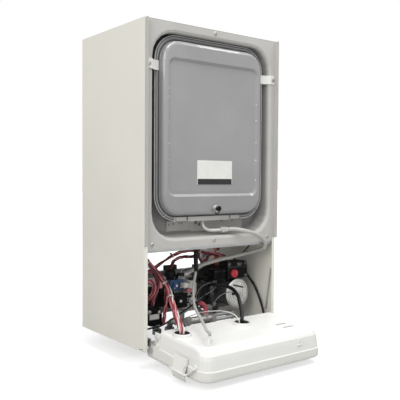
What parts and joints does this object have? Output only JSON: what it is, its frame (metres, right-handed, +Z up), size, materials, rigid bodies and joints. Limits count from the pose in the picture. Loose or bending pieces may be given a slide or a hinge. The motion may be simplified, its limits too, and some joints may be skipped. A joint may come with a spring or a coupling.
{
  "type": "wall-hung combi boiler",
  "caption": "Wall-hung combi boiler with its front cover off: sealed chamber with pressed expansion vessel, pump and valves below, and a hinged control box swung down.",
  "frame": {"origin": "centre of the hanging rail's wall face, on the back of the casing", "axes": "+X to the right seen from the front, +Y into the wall, +Z up; the front looks towards -Y"},
  "size_m": [0.4, 0.4905, 0.8044],
  "materials": {
    "casing_paint": "white-grey powder coat",
    "frame_paint": "satin grey",
    "vessel_paint": "satin grey enamel, worn rims",
    "zinc": "zinc plated sheet",
    "steel": "plain steel",
    "cast_iron": "dark cast iron",
    "aluminium": "die cast",
    "copper": "bare copper",
    "white_plastic": "moulded, light sheen",
    "black_plastic": "moulded, matt",
    "grey_plastic": "moulded, matt",
    "blue_plastic": "moulded, matt",
    "red_plastic": "moulded, light sheen",
    "board": "lacquered board",
    "hose": "fine braid",
    "harness": "bundled insulated wires",
    "cable_black": "smooth sheath",
    "cable_grey": "smooth sheath",
    "gland_rubber": "moulded"
  },
  "bodies": {
    "casing": {"left_side_panel": "casing_paint", "right_side_panel": "casing_paint", "top_panel": "frame_paint", "rear_wall": "zinc", "hanging_rail": "zinc", "rear_cross_rail": "zinc", "chamber_floor": "zinc", "chamber_front_panel": "frame_paint", "vessel_front_shell": "vessel_paint", "vessel_rear_shell": "vessel_paint", "vessel_clip_left": "zinc", "vessel_clip_right": "zinc", "vessel_shelf": "frame_paint", "vessel_elbow": "zinc", "vessel_hose": "hose", "burner": "steel", "combustion_chamber": "steel", "heat_exchanger": "copper", "flue_hood": "steel", "fan_housing": "aluminium", "fan_motor": "black_plastic", "flue_collar": "aluminium", "gas_valve_body": "aluminium", "gas_valve_coil": "blue_plastic", "gas_valve_solenoid": "black_plastic", "pump_face": "aluminium", "pump_motor": "cast_iron", "pump_volute": "black_plastic", "pump_terminal_box": "black_plastic", "pump_to_exchanger_pipe": "copper", "diverter_valve_body": "grey_plastic", "diverter_motor": "black_plastic", "exchanger_to_diverter_pipe": "copper", "plate_heat_exchanger": "steel", "water_inlet_group": "aluminium", "stay_rod": "zinc", "hinge_bracket_left": "steel", "hinge_bracket_right": "steel", "red_harness": "harness", "upper_harness": "harness", "grey_cable": "cable_grey", "pump_sensor_cable": "cable_black", "mains_cable": "cable_black", "pump_cable": "cable_black"},
    "control_box": {"box_fascia": "white_plastic", "box_cover": "white_plastic", "gland_left": "gland_rubber", "gland_right": "gland_rubber", "cable_boot": "white_plastic", "circuit_board": "board", "pressure_gauge": "black_plastic", "box_latch": "white_plastic"},
    "pump_speed_knob": {"pump_speed_knob": "red_plastic"},
    "fan_wheel": {"fan_wheel": "aluminium"},
    "air_vent_cap": {"air_vent_cap": "grey_plastic"},
    "charging_valve_cap": {"charging_valve_cap": "black_plastic"},
    "relief_valve_cap": {"relief_valve_cap": "red_plastic"},
    "water_temperature_knob": {"water_temperature_knob": "grey_plastic"},
    "heating_temperature_knob": {"heating_temperature_knob": "grey_plastic"},
    "reset_button": {"reset_button": "grey_plastic"}
  },
  "joints": [
    {"name": "box_hinge", "type": "hinge", "parent": "casing", "child": "control_box", "pos_m": [0, -0.294, -0.702], "axis": [-1, 0, 0], "range_deg": [0, 93], "deforming": ["red_harness", "grey_cable", "pump_sensor_cable", "pump_cable"]},
    {"name": "pump_speed_turn", "type": "hinge", "parent": "casing", "child": "pump_speed_knob", "pos_m": [0.113, -0.24, -0.568], "axis": [0, -1, 0], "range_deg": [0, 120]},
    {"name": "fan_spin", "type": "hinge", "parent": "casing", "child": "fan_wheel", "pos_m": [0, -0.127, -0.055], "axis": [0, -1, 0], "continuous": true},
    {"name": "air_vent_turn", "type": "hinge", "parent": "casing", "child": "air_vent_cap", "pos_m": [-0.053, -0.188, -0.56], "axis": [0, 0, 1], "range_deg": [0, 360]},
    {"name": "charging_cap_turn", "type": "hinge", "parent": "casing", "child": "charging_valve_cap", "pos_m": [0, -0.315, -0.393], "axis": [0, -1, 0], "range_deg": [0, 360]},
    {"name": "relief_cap_turn", "type": "hinge", "parent": "casing", "child": "relief_valve_cap", "pos_m": [0.031, -0.226, -0.66], "axis": [0, 0, -1], "range_deg": [0, 90]},
    {"name": "water_knob_turn", "type": "hinge", "parent": "control_box", "child": "water_temperature_knob", "pos_m": [-0.096, -0.3903, -0.73709], "axis": [0, 0.0523, -0.9986], "range_deg": [0, 270]},
    {"name": "heating_knob_turn", "type": "hinge", "parent": "control_box", "child": "heating_temperature_knob", "pos_m": [-0.03, -0.3903, -0.73709], "axis": [0, 0.0523, -0.9986], "range_deg": [0, 270]},
    {"name": "reset_press", "type": "slide", "parent": "control_box", "child": "reset_button", "axis": [0, -0.0523, 0.9986], "range_m": [0, 0.002], "stiffness_N_per_m": 400}
  ]
}
